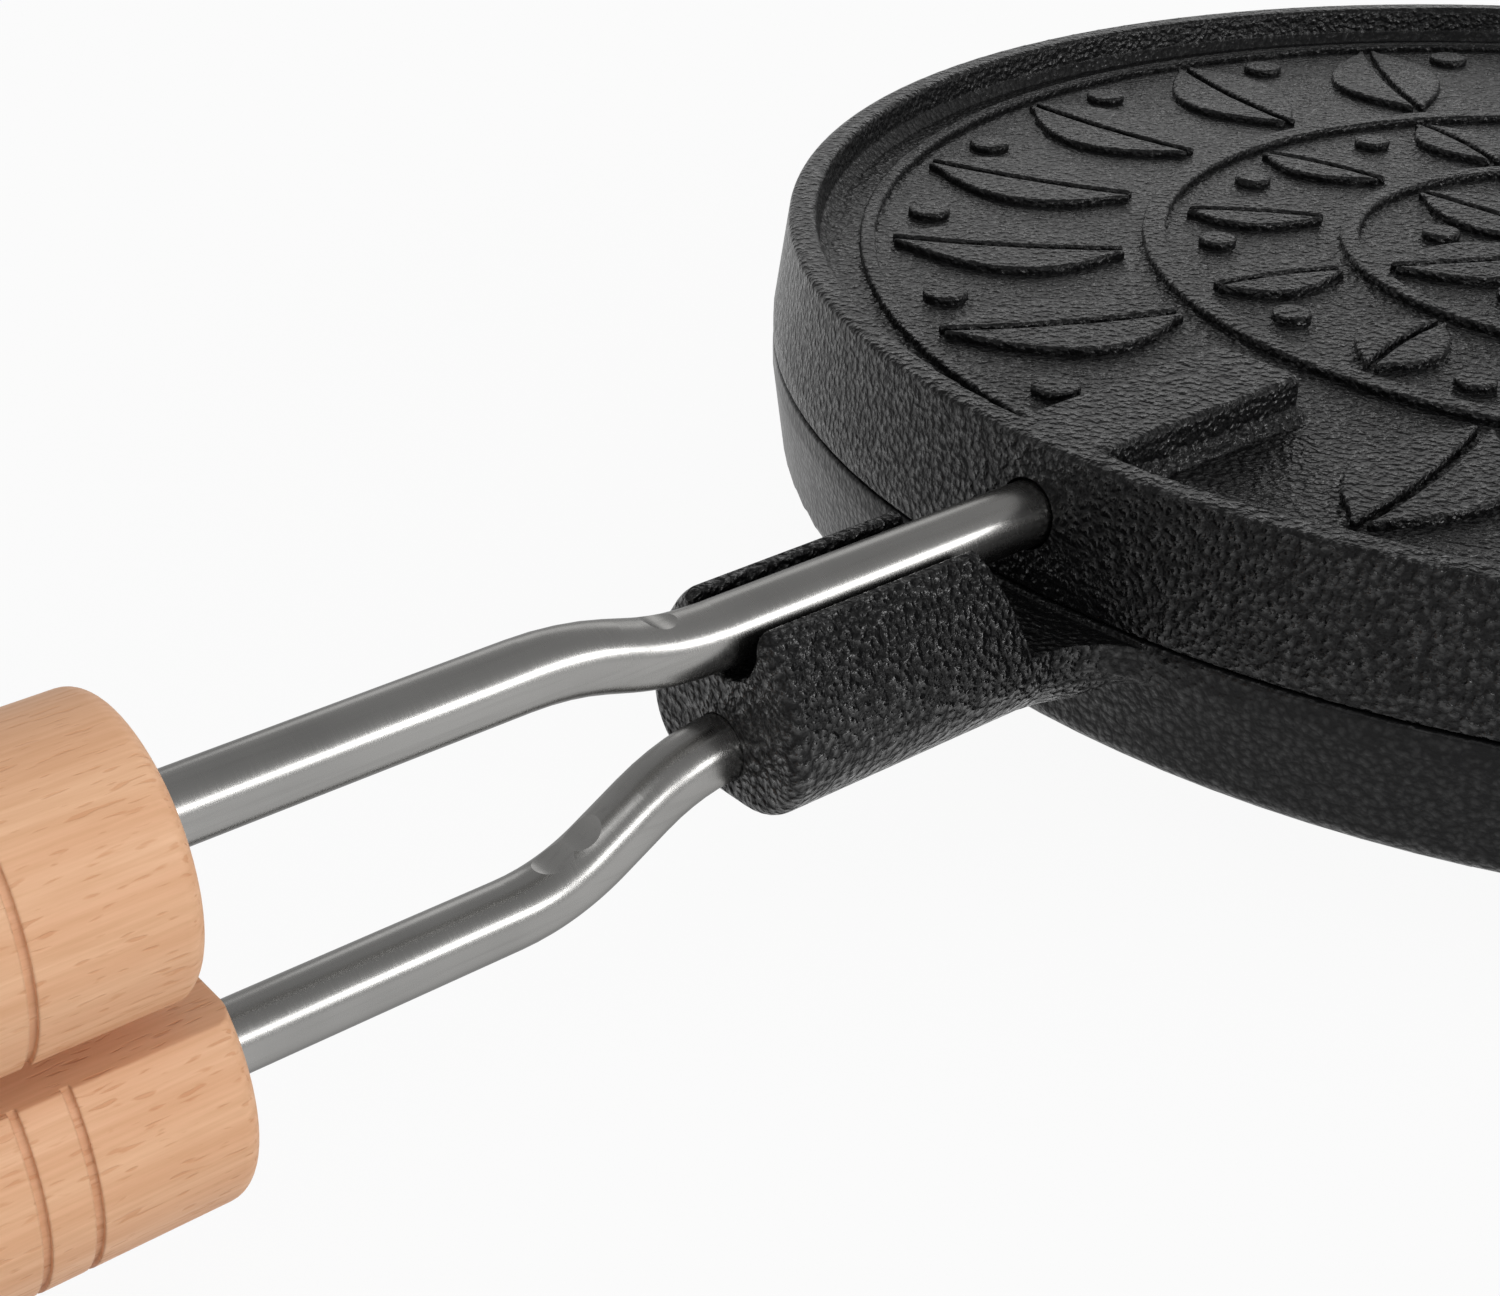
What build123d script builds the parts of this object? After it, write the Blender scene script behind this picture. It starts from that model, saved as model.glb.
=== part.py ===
from build123d import *
import math
import os

# Campfire waffle iron: two round cast iron plates joined by a hinge at their far edge.
# Each plate carries a bent steel rod with a wooden grip. All sizes are in millimetres.
# The pieces are drawn with the plates' axis on Z, the joint between the plates at
# height 0 and the handle towards -X. At the end they all move together, so that the
# origin lies under the middle of the iron, at the height of its lowest point.

# Cast plates
rim_radius = 105.2
seam_radius = 107.0
half_height = 16.2
seam_gap = 0.3
seam_band = 3.0
seam_rounding = 0.5
rim_width = 3.4
rim_rounding = 0.8
foot_width = 8.5
foot_rounding = 3.0
recess_depth = 4.8
recess_draft = 0.6
recess_foot = 1.3

# Baking mould
mould_radius = 90.0
mould_depth = 7.4
mould_draft = 2.0
mould_thickness = 2.0
stud_pitch = 15.6
stud_base = 9.0
stud_height = 4.8
stud_taper = 16.0
stud_margin = 3.0

# Boss that holds the upper rod
boss_end_radius = 70.0
boss_half_width = 6.1
boss_corner = 1.6
boss_rounding = 0.9
boss_cover = 1.6

# Saddle block on the lower plate: it holds the lower rod and guides the upper one.
# Its reach counts from the plate's edge.
block_reach = 40.2
block_half_width = 11.4
block_depth = 10.4
block_corner = 8.0
block_shoulder_width = 8.0
block_shoulder_height = 8.2
block_crown_width = 6.1
block_height = 10.2
block_rounding = 1.5
block_top_gap = 12.3
block_foot_gap = 9.0
channel_clearance = 1.4
channel_rounding = 0.5
neck_drop = 0.7
neck_flare = 9.5
neck_draft = 5.0
neck_rounding = 7.5

# Handle rods. The bends count from the saddle block's end.
rod_radius = 3.5
seat_clearance = 0.05
upper_rod_height = 8.2
upper_rod_offset = 3.7
upper_bend_reach = 6.5
upper_bend_run = 12.3
upper_bend_radius = 34.0
upper_rod_seat = 3.0
lower_rod_height = 4.65
lower_rod_offset = 8.75
lower_bend_reach = 4.7
lower_bend_run = 15.4
lower_bend_radius = 22.0
lower_rod_depth = 32.0
hole_mouth = 0.35
hole_mouth_depth = 3.0

# Press marks that the bending dies leave on the inside of a bend
mark_radius = 4.5
mark_depth = 0.4
mark_spacing = 2.9
upper_mark_place = 2.0
lower_mark_place = 14.2

# Cross pins that lock the rods in the castings
lock_pin_radius = 1.5
lock_pin_sink = 0.4
lower_lock_place = 16.0

# Wooden grips
grip_radius = 13.8
grip_centre_offset = 1.5
grip_flat_distance = 10.7
upper_grip_reach = 62.6
lower_grip_reach = 59.6
grip_length = 120.0
grip_rounding = 2.0
ring_first = 15.3
ring_spacing = 4.6
ring_width = 0.8
ring_depth = 0.45

# Fasteners on the rod ends
stud_end_radius = 3.0
thread_clearance = 0.04
washer_radius = 8.0
washer_thickness = 1.2
spring_washer_radius = 5.6
spring_washer_thickness = 1.6
spring_washer_slit = 1.2
spring_washer_slant = 25.0
washer_bore_clearance = 0.25
nut_across_flats = 10.0
nut_hex_length = 6.0
nut_dome_radius = 4.6
barrel_nut_radius = 6.0
barrel_nut_length = 10.5
barrel_nut_chamfer = 0.6

# Closing loop
loop_wire_radius = 1.5
loop_bend_radius = 3.0
loop_corner_radius = 6.0
loop_side_clearance = 0.3
loop_top_clearance = 0.5
loop_pivot_depth = 2.6
loop_rest_tilt = 28.0
running_clearance = 0.06

# Hinge
hinge_reach = 9.5
knuckle_radius = 7.0
knuckle_half_width = 8.7
lug_gap = 0.3
lug_width = 6.0
arm_drop = 14.0
arm_overlap = 4.0
hinge_pin_radius = 3.0
pin_head_radius = 4.8
pin_head_thickness = 2.2
pin_tail = 5.5
hinge_washer_thickness = 1.0
hinge_washer_radius = 6.0
split_wire_radius = 0.7
split_leg_spacing = 1.5
split_eye_radius = 2.0
split_leg_length = 4.5
split_bend = 35.0
split_hole_clearance = 0.1

# Values that follow from the ones above. Places along the handle count from the plates' axis.
recess_floor = half_height - recess_depth
recess_radius = rim_radius - rim_width
mould_floor_radius = mould_radius - mould_draft
seam_half_gap = seam_gap / 2
block_end = seam_radius + block_reach
upper_bend_start = block_end + upper_bend_reach
upper_bend_end = upper_bend_start + upper_bend_run
lower_bend_start = block_end + lower_bend_reach
lower_bend_end = lower_bend_start + lower_bend_run
upper_grip_start = block_end + upper_grip_reach
lower_grip_start = block_end + lower_grip_reach
grip_end = lower_grip_start + grip_length
upper_grip_axis = upper_rod_height + upper_rod_offset
lower_grip_axis = -lower_rod_height - lower_rod_offset
upper_lock_place = (mould_radius + seam_radius) / 2
hinge_distance = seam_radius + hinge_reach
lug_start = knuckle_half_width + lug_gap
lug_end = lug_start + lug_width
nut_start = grip_end + washer_thickness + spring_washer_thickness
loop_pivot = nut_start + barrel_nut_length / 2
loop_length = (upper_grip_axis - lower_grip_axis + nut_across_flats / 2
               + loop_top_clearance + loop_wire_radius)
loop_half_width = barrel_nut_radius + loop_side_clearance + loop_bend_radius
tilt = math.radians(loop_rest_tilt)
front_end = hinge_distance + knuckle_radius
back_end = loop_pivot + loop_length * math.cos(tilt) + loop_wire_radius
middle = (front_end - back_end) / 2
lowest = lower_grip_axis - loop_length * math.sin(tilt) - loop_wire_radius
cut_size = 3 * block_half_width


def along_x(radius, start, end, height=0.0):
    """Cylinder along X between two distances towards the handle."""
    blank = Cylinder(radius, abs(end - start), rotation=(0, 90, 0))
    return Pos(-(start + end) / 2, 0, height) * blank


def along_y(radius, start, end, x, height=0.0):
    """Cylinder along Y between two places."""
    blank = Cylinder(radius, abs(end - start), rotation=(90, 0, 0))
    return Pos(x, (start + end) / 2, height) * blank


def along_z(radius, start, end, x, y=0.0):
    """Upright cylinder between two heights."""
    return Pos(x, y, (start + end) / 2) * Cylinder(radius, abs(end - start))


def plate_body(edge_width, edge_rounding):
    """Round casting of one half, drawn above the joint: rim, outer recess and the mould's walls."""
    inner = rim_radius - edge_width
    outline = [
        (0, recess_floor),
        (inner - recess_draft - recess_foot, recess_floor),
        (inner - recess_draft, recess_floor + recess_foot),
        (inner, half_height),
        (rim_radius, half_height),
        (seam_radius, seam_band),
        (seam_radius, seam_half_gap),
        (mould_radius, seam_half_gap),
        (mould_floor_radius, mould_depth),
        (mould_floor_radius, mould_depth + mould_thickness),
        (0, mould_depth + mould_thickness),
    ]
    points = [(radius, 0, height) for radius, height in outline]
    body = revolve(make_face(Polyline(*points, close=True)), Axis.Z)
    rim = body.edges().filter_by(GeomType.CIRCLE).group_by(Axis.Z)[-1].sort_by(SortBy.RADIUS)
    body = fillet(rim[-1], edge_rounding)
    rim = body.edges().filter_by(GeomType.CIRCLE).group_by(Axis.Z)[-1].sort_by(SortBy.RADIUS)
    body = fillet(rim[0], rim_rounding)
    seam = body.edges().filter_by(GeomType.CIRCLE).group_by(Axis.Z)[0].sort_by(SortBy.RADIUS)
    return fillet(seam[-1], seam_rounding)


def mould():
    """Mould's floor with the grid of tapered studs that press the waffle pattern.

    It is cast in one with its plate, but drawn as a solid of its own.
    """
    stud = extrude(Rectangle(stud_base, stud_base), stud_height, taper=stud_taper)
    stud = Pos(0, 0, mould_depth) * Rot(180, 0, 0) * stud
    reach = mould_floor_radius - stud_margin
    count = int(reach / stud_pitch) + 1
    half_diagonal = stud_base / math.sqrt(2)
    studs = []
    for column in range(-count, count):
        for row in range(-count, count):
            x = (column + 0.5) * stud_pitch
            y = (row + 0.5) * stud_pitch
            if math.hypot(x, y) + half_diagonal < reach:
                studs.append(Pos(x, y, 0) * stud)
    return along_z(mould_floor_radius, mould_depth, mould_depth + mould_thickness, 0) + studs


def hinge_ear(start, end, side):
    """Ear from the plate's wall to the hinge axis. Side is 1 above the joint, -1 below it."""
    root = seam_radius - arm_overlap
    arm = Polyline(
        (root, 0, side * neck_drop),
        (hinge_distance, 0, side * neck_drop),
        (hinge_distance + knuckle_radius * 0.3, 0, side * knuckle_radius * 0.95),
        (root, 0, side * arm_drop),
        close=True,
    )
    arm = Pos(0, end, 0) * extrude(make_face(arm), amount=end - start, dir=(0, -1, 0))
    return arm + along_y(knuckle_radius, start, end, hinge_distance)


def upper_boss():
    """Boss in the outer recess that covers the upper rod's seat."""
    length = recess_radius - boss_end_radius + rim_width / 2
    centre = -(boss_end_radius + length / 2)
    boss = Pos(centre, 0, recess_floor) * extrude(
        Rectangle(length, 2 * boss_half_width), half_height - recess_floor)
    corners = boss.edges().filter_by(Axis.Z).group_by(Axis.X)[-1]
    boss = fillet(corners, boss_corner)
    top = boss.edges().group_by(Axis.Z)[-1]
    boss = fillet(top.filter_by(lambda edge: edge.center().X > centre - length / 2 + 1), boss_rounding)
    foot = RectangleRounded(length + 2 * recess_foot, 2 * (boss_half_width + recess_foot),
                            boss_corner + recess_foot)
    foot = Pos(centre, 0, recess_floor) * extrude(foot, recess_foot, taper=45)
    return boss + foot


def seat_cover():
    """Wall under the upper rod's seat where the seat reaches into the mould."""
    bottom = upper_rod_height - rod_radius - boss_cover
    end = mould_radius + stud_margin
    cover = Box(end - boss_end_radius, 2 * boss_half_width, recess_floor - bottom)
    return Pos(-(end + boss_end_radius) / 2, 0, (recess_floor + bottom) / 2) * cover


def upper_plate():
    plate = plate_body(rim_width, rim_rounding) + upper_boss() + seat_cover()
    plate += hinge_ear(-knuckle_half_width, knuckle_half_width, 1)
    seat_end = boss_end_radius + upper_rod_seat
    plate -= along_x(rod_radius + seat_clearance, seat_end, block_end, upper_rod_height)
    mouth_start = rim_radius - hole_mouth_depth
    plate -= along_x(rod_radius + hole_mouth, mouth_start, block_end, upper_rod_height)
    plate -= along_z(lock_pin_radius, 0, upper_rod_height, -upper_lock_place)
    plate -= along_y(hinge_pin_radius + running_clearance, -lug_end, lug_end, hinge_distance)
    return plate


def block_section():
    """Half of the saddle block's cross section, with the height as its second coordinate."""
    side_foot = (block_half_width, block_corner - block_depth)
    shoulder = (block_shoulder_width, block_shoulder_height)
    crown = (block_crown_width, block_height)
    corner = TangentArc(side_foot, (block_half_width - block_corner, -block_depth), tangent=(0, -1))
    side = TangentArc(side_foot, shoulder, tangent=(0, 1))
    top = TangentArc(shoulder, crown, tangent=side % 1)
    rest = Polyline(crown, (0, block_height), (0, -block_depth), corner @ 1)
    return make_face([corner, side, top, rest])


def saddle_block():
    """Block with a channel along its top, on a neck that runs into the plate's wall."""
    half = block_section()
    section = half + mirror(half, Plane.YZ)
    inner_end = recess_radius
    plane = Plane(origin=(-inner_end, 0, 0), x_dir=(0, -1, 0), z_dir=(-1, 0, 0))
    block = extrude(plane * section, block_end - inner_end)
    block = fillet(block.edges().group_by(Axis.X)[0], block_rounding)
    top_end = seam_radius + block_top_gap
    foot_end = seam_radius + block_foot_gap
    gap = Polyline(
        (-top_end, 0, cut_size),
        (-top_end, 0, block_height),
        (-foot_end, 0, -neck_drop),
        (0, 0, -neck_drop),
        (0, 0, cut_size),
        close=True,
    )
    block -= Pos(0, cut_size, 0) * extrude(make_face(gap), amount=2 * cut_size, dir=(0, -1, 0))
    channel_radius = rod_radius + channel_clearance
    channel = along_x(channel_radius, 0, block_end + 1, upper_rod_height)
    slot = Box(block_end + 1, 2 * channel_radius, cut_size)
    slot = Pos(-(block_end + 1) / 2, 0, upper_rod_height + cut_size / 2) * slot
    block -= channel + slot
    lips = block.edges().filter_by(Axis.X).group_by(Axis.Z)[-1]
    lips = lips.filter_by(lambda edge: abs(edge.center().Y) < channel_radius + 0.1)
    return fillet(lips, channel_rounding)


def neck():
    """Neck under the saddle block whose sides sweep into the plate's wall in plan."""
    reach = seam_radius + neck_flare
    side = block_half_width + neck_flare
    flare_start = -math.sqrt(reach ** 2 - side ** 2)
    share = seam_radius / reach
    outline = []
    for sign in (1, -1):
        foot = (flare_start, sign * block_half_width, 0)
        wall = (flare_start * share, sign * side * share, 0)
        outline.append(TangentArc(foot, wall, tangent=(1, 0, 0)))
    outline.append(Line(outline[0] @ 0, outline[1] @ 0))
    outline.append(Line(outline[0] @ 1, outline[1] @ 1))
    depth = block_depth - neck_drop
    slab = extrude(make_face(outline), amount=depth, dir=(0, 0, -1), taper=neck_draft)
    low = slab.edges().group_by(Axis.Z)[0].filter_by(GeomType.LINE, reverse=True)
    return Pos(0, 0, -neck_drop) * fillet(low, neck_rounding)


def lower_plate():
    plate = mirror(plate_body(foot_width, foot_rounding), Plane.XY)
    plate = plate + saddle_block() + neck()
    plate += hinge_ear(-lug_end, -lug_start, -1)
    plate += hinge_ear(lug_start, lug_end, -1)
    seat_end = block_end - lower_rod_depth
    plate -= along_x(rod_radius + seat_clearance, seat_end, block_end + 1, -lower_rod_height)
    lock_place = block_end - lower_lock_place
    plate -= along_z(lock_pin_radius, -block_depth - 1, -lower_rod_height, -lock_place)
    plate -= along_y(hinge_pin_radius + seat_clearance, -lug_end - 1, lug_end + 1, hinge_distance)
    return plate


def press_marks(path, distance, count):
    """Rollers that leave shallow hollows across the top of a rod, some way along its path."""
    centre = path.position_at(distance, PositionMode.LENGTH)
    along = path.tangent_at(distance, PositionMode.LENGTH)
    outward = Vector(along.Z, 0, -along.X)
    roller = Cylinder(mark_radius, 3 * rod_radius, rotation=(90, 0, 0))
    marks = []
    for number in range(count):
        shift = (number - (count - 1) / 2) * mark_spacing
        place = centre + along * shift + outward * (rod_radius + mark_radius - mark_depth)
        marks.append(Pos(*place) * roller)
    return marks


def bent_rod(seat, height, bend_start, bend_end, axis_height, bend_radius, mark_place, mark_count):
    """Rod from its seat in a casting, over its double bend, to the threaded end."""
    path = FilletPolyline(
        (-seat, 0, height),
        (-bend_start, 0, height),
        (-bend_end, 0, axis_height),
        (-grip_end, 0, axis_height),
        radius=bend_radius,
    )
    section = Plane(path @ 0, z_dir=path % 0) * Circle(rod_radius)
    rod = sweep(section, path) - press_marks(path, bend_start + mark_place - seat, mark_count)
    thread_end = nut_start + nut_hex_length
    return rod + along_x(stud_end_radius, grip_end - 1, thread_end, axis_height)


def upper_rod():
    rod = bent_rod(boss_end_radius + upper_rod_seat, upper_rod_height, upper_bend_start,
                   upper_bend_end, upper_grip_axis, upper_bend_radius, upper_mark_place, 1)
    return rod - along_z(lock_pin_radius, 0, upper_rod_height, -upper_lock_place)


def lower_rod():
    rod = bent_rod(block_end - lower_rod_depth, -lower_rod_height, lower_bend_start,
                   lower_bend_end, lower_grip_axis, lower_bend_radius, lower_mark_place, 2)
    lock_place = block_end - lower_lock_place
    return rod - along_z(lock_pin_radius, -block_depth, -lower_rod_height, -lock_place)


def lock_pin(place, start, end):
    """Solid drive pin with its end sunk a little below the surface."""
    return along_z(lock_pin_radius, start, end, -place)


def grip(start, axis_height, side):
    """Turned grip with ring grooves, flat towards the other grip. Side points to that grip."""
    centre = axis_height + side * grip_centre_offset
    body = along_x(grip_radius, start, grip_end, centre)
    body = fillet(body.edges().filter_by(GeomType.CIRCLE), grip_rounding)
    for first, step in ((start + ring_first, ring_spacing), (grip_end - ring_first, -ring_spacing)):
        for place in (first, first + step):
            ring = along_x(grip_radius + 1, place - ring_width / 2, place + ring_width / 2, centre)
            body -= ring - along_x(grip_radius - ring_depth, place - ring_width, place + ring_width, centre)
    flat = Box(grip_end, 4 * grip_radius, grip_radius)
    flat_centre = axis_height + side * (grip_flat_distance + grip_radius / 2)
    body -= Pos(-(start + grip_end) / 2, 0, flat_centre) * flat
    return body - along_x(rod_radius + seat_clearance, start - 1, grip_end + 1, axis_height)


def washer(axis_height):
    ring = along_x(washer_radius, grip_end, grip_end + washer_thickness, axis_height)
    bore = along_x(stud_end_radius + washer_bore_clearance, grip_end - 1, nut_start + 1, axis_height)
    return ring - bore


def spring_washer(axis_height):
    ring = along_x(spring_washer_radius, grip_end + washer_thickness, nut_start, axis_height)
    bore = along_x(stud_end_radius + washer_bore_clearance, grip_end - 1, nut_start + 1, axis_height)
    slit = Box(4 * spring_washer_thickness, spring_washer_slit, spring_washer_radius)
    slit = Pos(-nut_start, 0, axis_height + spring_washer_radius / 2) * Rot(0, 0, spring_washer_slant) * slit
    return ring - bore - slit


def cap_nut():
    """Hexagon nut with a dome, one flat upwards, on the upper rod."""
    hexagon = RegularPolygon(nut_across_flats / 2, 6, major_radius=False, rotation=30)
    body = Rot(0, -90, 0) * extrude(hexagon, nut_hex_length)
    body += Pos(-nut_hex_length, 0, 0) * Sphere(nut_dome_radius)
    bore = along_x(stud_end_radius + thread_clearance, -1, nut_hex_length + thread_clearance)
    return Pos(-nut_start, 0, upper_grip_axis) * (body - bore)


def barrel_nut():
    """Round nut on the lower rod, cross drilled for the closing loop."""
    nut = along_x(barrel_nut_radius, nut_start, nut_start + barrel_nut_length, lower_grip_axis)
    nut = chamfer(nut.edges().filter_by(GeomType.CIRCLE), barrel_nut_chamfer)
    thread_end = nut_start + nut_hex_length + thread_clearance
    nut -= along_x(stud_end_radius + thread_clearance, nut_start - 1, thread_end, lower_grip_axis)
    hole = loop_wire_radius + running_clearance
    bottom = barrel_nut_radius - loop_pivot_depth - running_clearance
    for side in (-1, 1):
        nut -= along_y(hole, side * bottom, side * (barrel_nut_radius + 1), -loop_pivot, lower_grip_axis)
    return nut


def closing_loop():
    """Wire loop hooked into the barrel nut, swung down behind the handle at rest."""
    pivot_end = barrel_nut_radius - loop_pivot_depth
    path = FilletPolyline(
        (0, pivot_end, 0),
        (0, loop_half_width, 0),
        (-loop_length, loop_half_width, 0),
        (-loop_length, -loop_half_width, 0),
        (0, -loop_half_width, 0),
        (0, -pivot_end, 0),
        radius=[loop_bend_radius, loop_corner_radius, loop_corner_radius, loop_bend_radius],
    )
    section = Plane(path @ 0, z_dir=path % 0) * Circle(loop_wire_radius)
    loop = sweep(section, path)
    return Pos(-loop_pivot, 0, lower_grip_axis) * Rot(0, -loop_rest_tilt, 0) * loop


def hinge_pin():
    tail = lug_end + hinge_washer_thickness + pin_tail
    pin = along_y(hinge_pin_radius, -lug_end, tail, hinge_distance)
    pin += along_y(pin_head_radius, -lug_end - pin_head_thickness, -lug_end, hinge_distance)
    hole_radius = split_leg_spacing / 2 + split_wire_radius + split_hole_clearance
    hole = along_z(hole_radius, -knuckle_radius, knuckle_radius, hinge_distance,
                   lug_end + hinge_washer_thickness + pin_tail / 2)
    return pin - hole


def hinge_washer():
    ring = along_y(hinge_washer_radius, lug_end, lug_end + hinge_washer_thickness, hinge_distance)
    bore = hinge_pin_radius + washer_bore_clearance
    return ring - along_y(bore, lug_end - 1, lug_end + hinge_washer_thickness + 1, hinge_distance)


def split_pin():
    """Split pin through the hinge pin's tail, its legs bent apart."""
    eye_height = hinge_pin_radius + split_eye_radius + split_wire_radius
    pin = Pos(0, 0, eye_height) * Torus(split_eye_radius, split_wire_radius, rotation=(90, 0, 0))
    straight_end = -hinge_pin_radius - split_wire_radius
    for side in (-1, 1):
        x = side * split_leg_spacing / 2
        pin += along_z(split_wire_radius, straight_end, eye_height - split_eye_radius + 0.2, x)
        leg = Pos(0, 0, -split_leg_length / 2) * Cylinder(split_wire_radius, split_leg_length)
        pin += Pos(x, 0, straight_end) * (Rot(0, -side * split_bend, 0) * leg + Sphere(split_wire_radius))
    return Pos(hinge_distance, lug_end + hinge_washer_thickness + pin_tail / 2, 0) * pin


pieces = {
    "lower_plate": lower_plate(),
    "upper_plate": upper_plate(),
    "lower_mould": mirror(mould(), Plane.XY),
    "upper_mould": mould() - seat_cover(),
    "lower_rod": lower_rod(),
    "upper_rod": upper_rod(),
    "lower_lock_pin": lock_pin(block_end - lower_lock_place, lock_pin_sink - block_depth,
                               -lower_rod_height),
    "upper_lock_pin": lock_pin(upper_lock_place, seam_half_gap + lock_pin_sink, upper_rod_height),
    "lower_grip": grip(lower_grip_start, lower_grip_axis, 1),
    "upper_grip": grip(upper_grip_start, upper_grip_axis, -1),
    "lower_washer": washer(lower_grip_axis),
    "upper_washer": washer(upper_grip_axis),
    "lower_spring_washer": spring_washer(lower_grip_axis),
    "upper_spring_washer": spring_washer(upper_grip_axis),
    "lower_barrel_nut": barrel_nut(),
    "upper_cap_nut": cap_nut(),
    "closing_loop": closing_loop(),
    "hinge_pin": hinge_pin(),
    "hinge_washer": hinge_washer(),
    "hinge_split_pin": split_pin(),
}

os.makedirs("parts", exist_ok=True)
for name, piece in pieces.items():
    export_step(Pos(-middle, 0, -lowest) * piece, f"parts/{name}.step")
print("middle", round(middle, 3), "lowest", round(lowest, 3))
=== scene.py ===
import math

import bpy
from mathutils import Matrix, Vector, noise


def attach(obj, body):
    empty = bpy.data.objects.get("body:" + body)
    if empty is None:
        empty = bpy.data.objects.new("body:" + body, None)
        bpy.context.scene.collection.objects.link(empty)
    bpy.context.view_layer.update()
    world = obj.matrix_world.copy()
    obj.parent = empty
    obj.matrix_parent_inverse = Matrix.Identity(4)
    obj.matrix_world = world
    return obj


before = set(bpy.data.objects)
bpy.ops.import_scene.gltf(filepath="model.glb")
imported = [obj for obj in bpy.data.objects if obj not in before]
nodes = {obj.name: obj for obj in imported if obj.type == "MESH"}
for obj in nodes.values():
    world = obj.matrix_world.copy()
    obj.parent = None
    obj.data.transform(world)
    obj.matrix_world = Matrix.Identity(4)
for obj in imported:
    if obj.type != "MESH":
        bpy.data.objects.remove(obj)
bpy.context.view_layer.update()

# Lengths are in metres, in the frame of the solids: grips towards -X, hinge towards +X.
MM = 0.001
PLATE_CENTRE = 120.685 * MM
SEAM_HEIGHT = 30.064 * MM
RECESS_FLOOR = SEAM_HEIGHT + 11.4 * MM

# Camera of the photograph. Its place counts from the middle of the joint between the plates.
IMAGE_WIDTH = 1500
IMAGE_HEIGHT = 1296
CAMERA_PLACE = (-278.83 * MM, -158.70 * MM, 123.94 * MM)
CAMERA_YAW = 0.9391
CAMERA_PITCH = -0.4675
CAMERA_ROLL = -0.0168
FOCAL_PIXELS = 2462.8
CENTRE_COLUMN = 589.3
CENTRE_ROW = 524.0
SENSOR_WIDTH = 36.0
CLIP_START = 10 * MM

# Stage
FLOOR_SIZE = 40.0
FLOOR_DROP = 0.5 * MM
FLOOR_GLOW = 0.94
LAMP_AIM_HEIGHT = 30 * MM
# Pairs of the sine of the elevation and the room's brightness there
ROOM_STOPS = ((0.0, 0.62), (0.25, 0.52), (0.6, 0.44), (1.0, 0.36))

# Edges of castings and grips
BEVEL_SAMPLES = 6
EDGE_ROUNDING = 0.4 * MM
WORN_EDGE = 0.7 * MM

# Where the pebbles of the castings get shallower: from the block to the plates, and towards +Y
BLOCK_END = PLATE_CENTRE - 110 * MM
WALL_START = PLATE_CENTRE - 104 * MM
FAR_SIDE = 60 * MM
FAR_SIDE_RELIEF = 0.55

# Linear colours
FLOOR_COLOUR = (0.6, 0.6, 0.6, 1)
WHITE = (1, 1, 1, 1)
IRON_DARK = (0.0035, 0.0035, 0.0038, 1)
IRON_PALE = (0.0065, 0.0065, 0.0068, 1)
IRON_WORN = (0.03, 0.03, 0.031, 1)
STEEL_EDGE_TINT = (0.45, 0.45, 0.45, 1)
BEECH_LATE_WOOD = (0.79, 0.46, 0.275, 1)
BEECH_EARLY_WOOD = (0.85, 0.53, 0.33, 1)
BEECH_CLOUD = (0.80, 0.44, 0.25, 1)
BEECH_FIBRE = (0.64, 0.33, 0.17, 1)
BEECH_FLECK = (0.55, 0.21, 0.08, 1)

# Raised ornament in the outer recess. Its outline is written in millimetres.
RELIEF_HEIGHT = 0.95 * MM
RELIEF_SINK = 0.47 * MM
RELIEF_ROUNDING = 0.35 * MM
ROUNDING_STEPS = 2
ARC_STEPS = 20
RING_STEPS = 8 * ARC_STEPS
LEAF_FULLNESS = 0.8
RING_CLEARANCE = math.radians(6.0)
LEAF_CLEARANCE = math.radians(16.0)
WOBBLE = 0.12 * MM
WOBBLE_SCALE = 450.0
WOBBLE_SEED = 1
FLAT_FACE = 0.99


def make_camera():
    forward = Vector((
        math.cos(CAMERA_YAW) * math.cos(CAMERA_PITCH),
        math.sin(CAMERA_YAW) * math.cos(CAMERA_PITCH),
        math.sin(CAMERA_PITCH),
    ))
    level = Vector((math.sin(CAMERA_YAW), -math.cos(CAMERA_YAW), 0))
    upright = level.cross(forward)
    right = math.cos(CAMERA_ROLL) * level + math.sin(CAMERA_ROLL) * upright
    up = math.cos(CAMERA_ROLL) * upright - math.sin(CAMERA_ROLL) * level
    data = bpy.data.cameras.new("camera")
    data.sensor_width = SENSOR_WIDTH
    data.lens = SENSOR_WIDTH * FOCAL_PIXELS / IMAGE_WIDTH
    data.shift_x = (IMAGE_WIDTH / 2 - CENTRE_COLUMN) / IMAGE_WIDTH
    data.shift_y = (CENTRE_ROW - IMAGE_HEIGHT / 2) / IMAGE_WIDTH
    data.clip_start = CLIP_START
    camera = bpy.data.objects.new("camera", data)
    turn = Matrix((right, up, -forward)).transposed().to_4x4()
    place = Vector((PLATE_CENTRE, 0, SEAM_HEIGHT)) + Vector(CAMERA_PLACE)
    camera.matrix_world = Matrix.Translation(place) @ turn
    bpy.context.scene.collection.objects.link(camera)
    bpy.context.scene.camera = camera


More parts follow.
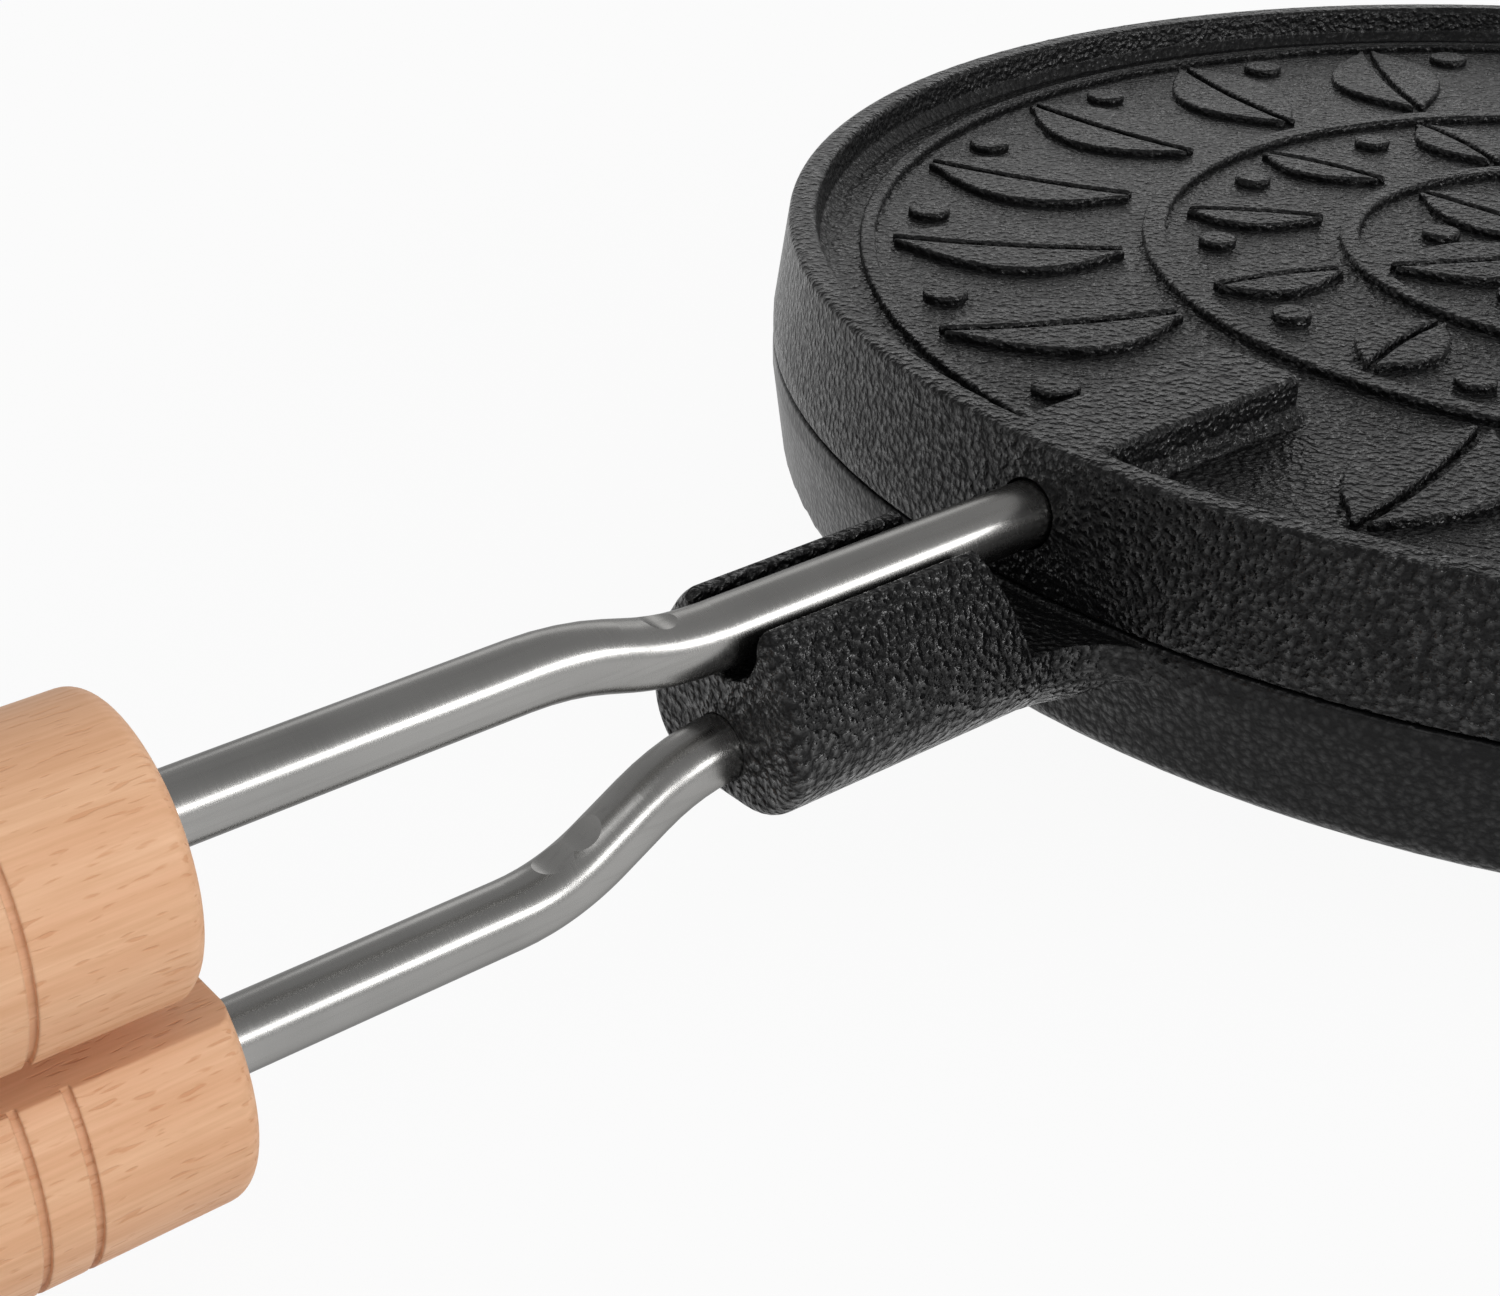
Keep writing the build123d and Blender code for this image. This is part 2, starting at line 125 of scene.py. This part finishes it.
class Shader:
    """Short way to add and join the nodes of one material."""

    def __init__(self, name):
        self.material = bpy.data.materials.new(name)
        self.material.use_nodes = True
        self.tree = self.material.node_tree
        self.surface = self.tree.nodes["Principled BSDF"]
        self.place = self.add("ShaderNodeTexCoord").outputs["Object"]

    def add(self, kind, inputs=None, **settings):
        node = self.tree.nodes.new(kind)
        for name, value in settings.items():
            setattr(node, name, value)
        for name, value in (inputs or {}).items():
            self.feed(node.inputs[name], value)
        return node

    def feed(self, socket, value):
        if isinstance(value, bpy.types.NodeSocket):
            self.tree.links.new(value, socket)
        else:
            socket.default_value = value

    def set(self, **values):
        for name, value in values.items():
            self.feed(self.surface.inputs[name.replace("_", " ")], value)

    def stretched(self, scale):
        node = self.add("ShaderNodeMapping", {"Vector": self.place, "Scale": scale})
        return node.outputs["Vector"]

    def warped(self, scale, distance):
        """Object coordinates that noise pushes about by up to that distance."""
        push = self.add("ShaderNodeTexNoise", {"Vector": self.place, "Scale": scale, "Detail": 1.0})
        inputs = {"Factor": distance, "A": self.place, "B": push.outputs["Color"]}
        return self.add("ShaderNodeMix", inputs, data_type="VECTOR").outputs["Result"]

    def noise(self, scale, detail=3.0, roughness=0.5, distortion=0.0, vector=None):
        node = self.add("ShaderNodeTexNoise", {
            "Vector": vector or self.place,
            "Scale": scale,
            "Detail": detail,
            "Roughness": roughness,
            "Distortion": distortion,
        })
        return node.outputs["Fac"]

    def cells(self, scale, vector):
        node = self.add("ShaderNodeTexVoronoi", {"Vector": vector, "Scale": scale})
        return node.outputs["Distance"]

    def math(self, operation, first, second):
        return self.add("ShaderNodeMath", {0: first, 1: second}, operation=operation).outputs[0]

    def span(self, value, old, new=(0.0, 1.0)):
        """Value moved from the old range to the new one, and held inside it."""
        node = self.add("ShaderNodeMapRange", {
            "Value": value,
            "From Min": old[0],
            "From Max": old[1],
            "To Min": new[0],
            "To Max": new[1],
        })
        return node.outputs["Result"]

    def blend(self, factor, first, second):
        inputs = {"Factor": factor, "A": first, "B": second}
        return self.add("ShaderNodeMix", inputs, data_type="RGBA").outputs["Result"]

    def bump(self, height, distance, strength=1.0, normal=None):
        inputs = {"Height": height, "Distance": distance, "Strength": strength}
        if normal:
            inputs["Normal"] = normal
        return self.add("ShaderNodeBump", inputs).outputs["Normal"]

    def rounded(self, radius):
        """Normals of the surface with its edges rounded off."""
        node = self.add("ShaderNodeBevel", {"Radius": radius}, samples=BEVEL_SAMPLES)
        return node.outputs["Normal"]

    def edge(self, radius):
        """1 on sharp edges, 0 on flat places."""
        flat = self.add("ShaderNodeNewGeometry").outputs["Normal"]
        inputs = {0: self.rounded(radius), 1: flat}
        dot = self.add("ShaderNodeVectorMath", inputs, operation="DOT_PRODUCT").outputs["Value"]
        return self.span(dot, (1.0, 0.85))


def shade(colour, share):
    return [value * share for value in colour] + [1]


def cast_iron(name, depth, plate_relief, shine):
    """Pebbled black iron.

    Depth is how deep the pebbles are on the saddle block, plate_relief the share of it that the
    plates have, and shine the specular level on top of the pebbles.
    """
    s = Shader(name)
    pebble = s.cells(1100.0, s.warped(500.0, 0.6 * MM))
    swell = s.noise(1350.0, detail=1.0)
    grain = s.noise(3200.0, detail=1.0, roughness=0.6)
    cloud = s.noise(60.0)
    height = s.math("SUBTRACT", s.math("MULTIPLY", swell, 0.9), s.math("MULTIPLY", pebble, 0.75))
    height = s.math("ADD", height, s.math("MULTIPLY", grain, 0.22))
    axes = s.add("ShaderNodeSeparateXYZ", {"Vector": s.place}).outputs
    share = s.math("MULTIPLY", s.span(axes["X"], (BLOCK_END, WALL_START), (1.0, plate_relief)),
                   s.span(axes["Y"], (0.0, FAR_SIDE), (1.0, FAR_SIDE_RELIEF)))
    wear = s.math("MULTIPLY", s.edge(WORN_EDGE), s.span(grain, (0.4, 0.62)))
    tone = s.blend(cloud, IRON_DARK, IRON_PALE)
    tone = s.blend(s.math("MULTIPLY", wear, 0.4), tone, IRON_WORN)
    top = s.math("MULTIPLY", s.span(height, (0.1, 0.5)), share)
    gloss = s.span(top, (0.0, 1.0), (0.16, shine))
    rough = s.span(top, (0.0, 1.0), (0.3, 0.12))
    rough = s.math("ADD", rough, s.span(cloud, (0.3, 0.7), (0.0, 0.06)))
    normal = s.bump(height, depth, share, s.rounded(EDGE_ROUNDING))
    s.set(Base_Color=tone, Roughness=rough, Normal=normal, Specular_IOR_Level=gloss)
    return s.material


def brushed_steel(name, base, roughness):
    """Steel with fine marks along and round the rods. Its roughness is a range."""
    s = Shader(name)
    turned = s.noise(300.0, 4.0, 0.6, vector=s.stretched((16.0, 1.0, 1.0)))
    drawn = s.noise(1400.0, 3.0, 0.6, vector=s.stretched((0.03, 1.0, 1.0)))
    cloud = s.noise(60.0)
    lines = s.math("ADD", s.math("MULTIPLY", turned, 0.5), s.math("MULTIPLY", drawn, 0.5))
    tone = s.blend(s.span(cloud, (0.35, 0.65)), shade(base, 0.88), shade(base, 1.0))
    tone = s.blend(s.span(drawn, (0.5, 0.75), (0.0, 0.25)), tone, shade(base, 0.6))
    s.set(Metallic=1.0, Base_Color=tone, Roughness=s.span(lines, (0.35, 0.65), roughness),
          Normal=s.bump(lines, 0.004 * MM), Specular_Tint=STEEL_EDGE_TINT)
    return s.material


def beech():
    s = Shader("beech")
    rings = s.add("ShaderNodeTexWave", {
        "Vector": s.stretched((0.05, 0.5, 1.0)),
        "Scale": 70.0,
        "Distortion": 4.0,
        "Detail": 3.0,
        "Detail Scale": 0.8,
        "Detail Roughness": 0.5,
    }, bands_direction="Z").outputs["Fac"]
    fibre = s.noise(1500.0, 4.0, 0.6, vector=s.stretched((0.045, 1.0, 1.0)))
    cloud = s.noise(30.0)
    fleck = s.noise(3000.0, 1.0, 0.4, 0.1, s.stretched((0.12, 1.0, 0.6)))
    fleck = s.math("MULTIPLY", s.span(fleck, (0.62, 0.7)), s.span(cloud, (0.3, 0.6), (0.4, 1.0)))
    tone = s.blend(rings, BEECH_LATE_WOOD, BEECH_EARLY_WOOD)
    tone = s.blend(s.span(cloud, (0.3, 0.7), (0.0, 0.5)), tone, BEECH_CLOUD)
    tone = s.blend(s.span(fibre, (0.35, 0.7), (0.0, 0.55)), tone, BEECH_FIBRE)
    tone = s.blend(s.math("MULTIPLY", fleck, 0.45), tone, BEECH_FLECK)
    height = s.math("SUBTRACT", s.math("MULTIPLY", fibre, 0.5), fleck)
    normal = s.bump(height, 0.04 * MM, normal=s.rounded(EDGE_ROUNDING))
    s.set(Base_Color=tone, Roughness=s.span(fibre, (0.3, 0.7), (0.5, 0.62)), Normal=normal,
          Specular_IOR_Level=0.35)
    return s.material


def paint(material, *names):
    for name in names:
        data = nodes[name].data
        data.materials.clear()
        data.materials.append(material)


def make_floor():
    """Floor that camera, metal and glass see nearly white, with a faint shadow of the object."""
    s = Shader("floor")
    s.set(Base_Color=FLOOR_COLOUR, Roughness=0.9)
    glow = s.add("ShaderNodeEmission", {"Color": WHITE, "Strength": 1.0}).outputs[0]
    path = s.add("ShaderNodeLightPath").outputs
    seen = s.math("MAXIMUM", path["Is Camera Ray"], path["Is Glossy Ray"])
    seen = s.math("MAXIMUM", seen, path["Is Transmission Ray"])
    seen = s.math("MULTIPLY", seen, FLOOR_GLOW)
    mix = s.add("ShaderNodeMixShader", {0: seen, 1: s.surface.outputs[0], 2: glow})
    s.tree.links.new(mix.outputs[0], s.tree.nodes["Material Output"].inputs["Surface"])
    bpy.ops.mesh.primitive_plane_add(size=FLOOR_SIZE, location=(0, 0, -FLOOR_DROP))
    floor = bpy.context.object
    floor.name = "floor"
    floor.data.materials.append(s.material)


def make_lamp(name, place, aim_x, size, radiance):
    """Softbox that faces a point on the iron's long axis. Its power gives it that brightness."""
    data = bpy.data.lights.new(name, "AREA")
    data.shape = "RECTANGLE"
    data.size, data.size_y = size
    data.energy = radiance * math.pi * size[0] * size[1]
    lamp = bpy.data.objects.new(name, data)
    lamp.location = place
    view = Vector((aim_x, 0, LAMP_AIM_HEIGHT)) - Vector(place)
    lamp.rotation_euler = view.to_track_quat("-Z", "Y").to_euler()
    bpy.context.scene.collection.objects.link(lamp)


def make_world():
    """Studio room: pale walls at the horizon, darker towards the ceiling."""
    world = bpy.data.worlds.new("studio")
    world.use_nodes = True
    tree = world.node_tree
    direction = tree.nodes.new("ShaderNodeTexCoord")
    axes = tree.nodes.new("ShaderNodeSeparateXYZ")
    ramp = tree.nodes.new("ShaderNodeValToRGB")
    tree.links.new(direction.outputs["Generated"], axes.inputs[0])
    tree.links.new(axes.outputs["Z"], ramp.inputs[0])
    elements = ramp.color_ramp.elements
    elements[0].position = ROOM_STOPS[0][0]
    elements[-1].position = ROOM_STOPS[-1][0]
    for height, _ in ROOM_STOPS[1:-1]:
        elements.new(height)
    for element, (_, brightness) in zip(elements, ROOM_STOPS):
        element.color = (brightness, brightness, brightness, 1)
    tree.links.new(ramp.outputs["Color"], tree.nodes["Background"].inputs["Color"])
    bpy.context.scene.world = world


def arc_points(radius, start, end, steps):
    angles = [start + (end - start) * i / steps for i in range(steps + 1)]
    return [(radius * math.cos(angle), radius * math.sin(angle)) for angle in angles]


def circle_points(radius, steps):
    return arc_points(radius, 0, 2 * math.pi, steps)[:-1]


def ring_loops(inner, outer, gap=0.0):
    """Ring, or with a gap an open band that leaves room for the boss over the rod."""
    if not gap:
        return [circle_points(outer, RING_STEPS), circle_points(inner, RING_STEPS)]
    start, end = gap - math.pi, math.pi - gap
    return [arc_points(outer, start, end, RING_STEPS) + arc_points(inner, end, start, RING_STEPS)]


def leaf_loops(inner, outer, half_width, vein, bend, angle):
    """Two halves of a leaf that points outwards, parted by a vein. Bend curves its tip sideways."""
    halves = []
    for side in (-1, 1):
        rim = []
        spine = []
        for i in range(ARC_STEPS + 1):
            t = i / ARC_STEPS
            radius = inner + (outer - inner) * t
            shift = bend * t * t
            swell = half_width * math.sin(math.pi * t) ** LEAF_FULLNESS
            rim.append((radius, shift + side * max(swell, vein)))
            spine.append((radius, shift + side * vein / 2))
        turn = Matrix.Rotation(angle, 2)
        halves.append([tuple(turn @ Vector(point)) for point in rim + spine[::-1]])
    return halves


def dot_loop(distance, angle, radius):
    centre = Vector((distance * math.cos(angle), distance * math.sin(angle)))
    return [tuple(centre + Vector(point)) for point in circle_points(radius, ARC_STEPS)]


def wreath_loops(count, first, dot_distance, dot_radius, clearance=0.0, **leaf):
    """Leaves in a circle from the first one's angle in degrees, each with a dot after it.

    The clearance leaves out those too near the boss over the rod.
    """
    step = 360 // count
    loops = []
    for i in range(count):
        angle = math.radians(first + step * i)
        if abs(math.pi - angle) >= clearance:
            loops += leaf_loops(angle=angle, **leaf)
            loops.append(dot_loop(dot_distance, angle + math.radians(step / 2), dot_radius))
    return loops


def rosette_loops():
    """Rosette in two rings with a wreath of leaves round them."""
    loops = ring_loops(32.0, 34.4) + ring_loops(56.5, 59.5)
    loops += ring_loops(94.0, 96.0, RING_CLEARANCE)
    loops.append(dot_loop(0.0, 0.0, 4.0))
    loops += wreath_loops(6, 30, inner=6.0, outer=30.0, half_width=6.6, vein=1.0, bend=0.0,
                          dot_distance=22.0, dot_radius=2.4)
    loops += wreath_loops(12, 0, inner=37.0, outer=54.0, half_width=5.6, vein=1.0, bend=3.0,
                          dot_distance=50.0, dot_radius=2.4)
    loops += wreath_loops(18, 0, inner=62.5, outer=91.5, half_width=8.2, vein=1.2, bend=-4.0,
                          dot_distance=87.5, dot_radius=2.8, clearance=LEAF_CLEARANCE)
    return loops


def make_relief(material):
    """Rosette that stands on the recess floor and sinks a little into it."""
    data = bpy.data.curves.new("recess_relief", "CURVE")
    data.dimensions = "2D"
    data.fill_mode = "BOTH"
    data.extrude = (RELIEF_HEIGHT + RELIEF_SINK) / 2 - RELIEF_ROUNDING
    data.bevel_depth = RELIEF_ROUNDING
    data.bevel_resolution = ROUNDING_STEPS
    data.offset = -RELIEF_ROUNDING
    for points in rosette_loops():
        spline = data.splines.new("POLY")
        spline.points.add(len(points) - 1)
        for point, (x, y) in zip(spline.points, points):
            point.co = (x * MM, y * MM, 0, 1)
        spline.use_cyclic_u = True
    curve = bpy.data.objects.new("recess_relief_outline", data)
    bpy.context.scene.collection.objects.link(curve)
    bpy.context.view_layer.update()
    evaluated = curve.evaluated_get(bpy.context.evaluated_depsgraph_get())
    mesh = bpy.data.meshes.new_from_object(evaluated)
    bpy.data.objects.remove(curve)
    mesh.materials.clear()
    mesh.materials.append(material)
    noise.seed_set(WOBBLE_SEED)
    for vertex in mesh.vertices:
        wobble = noise.noise_vector(vertex.co * WOBBLE_SCALE)
        vertex.co.x += wobble.x * WOBBLE
        vertex.co.y += wobble.y * WOBBLE
    for face in mesh.polygons:
        face.use_smooth = abs(face.normal.z) < FLAT_FACE
    relief = bpy.data.objects.new("recess_relief", mesh)
    top = RECESS_FLOOR + RELIEF_HEIGHT
    relief.location = (PLATE_CENTRE, 0, top - RELIEF_ROUNDING - data.extrude)
    bpy.context.scene.collection.objects.link(relief)
    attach(relief, "upper_half")


make_camera()
make_world()
make_floor()
make_lamp("strip_softbox", (0.54, -0.82, 0.42), aim_x=0.0, size=(0.7, 0.2), radiance=9.0)
make_lamp("near_softbox", (-0.08, -0.97, 0.42), aim_x=0.0, size=(0.3, 0.16), radiance=9.0)
make_lamp("far_softbox", (0.9, 0.9, 0.45), aim_x=0.1, size=(1.2, 0.5), radiance=0.9)
make_lamp("grip_softbox", (-0.75, -0.3, 0.95), aim_x=-0.2, size=(0.8, 0.6), radiance=1.75)

iron = cast_iron("cast_iron", depth=0.5 * MM, plate_relief=1.0, shine=0.52)
lower_iron = cast_iron("lower_cast_iron", depth=0.55 * MM, plate_relief=0.3, shine=0.7)
rod_steel = brushed_steel("rod_steel", (0.36, 0.355, 0.345), roughness=(0.22, 0.3))
zinc = brushed_steel("zinc_steel", (0.42, 0.425, 0.43), roughness=(0.3, 0.42))
make_relief(iron)
paint(iron, "upper_plate", "lower_mould", "upper_mould")
paint(lower_iron, "lower_plate")
paint(rod_steel, "lower_rod", "upper_rod", "closing_loop")
paint(zinc, "lower_lock_pin", "upper_lock_pin", "lower_washer", "upper_washer",
      "lower_spring_washer", "upper_spring_washer", "lower_barrel_nut", "upper_cap_nut",
      "hinge_pin", "hinge_washer", "hinge_split_pin")
paint(beech(), "lower_grip", "upper_grip")

bpy.context.scene.view_settings.view_transform = "Standard"
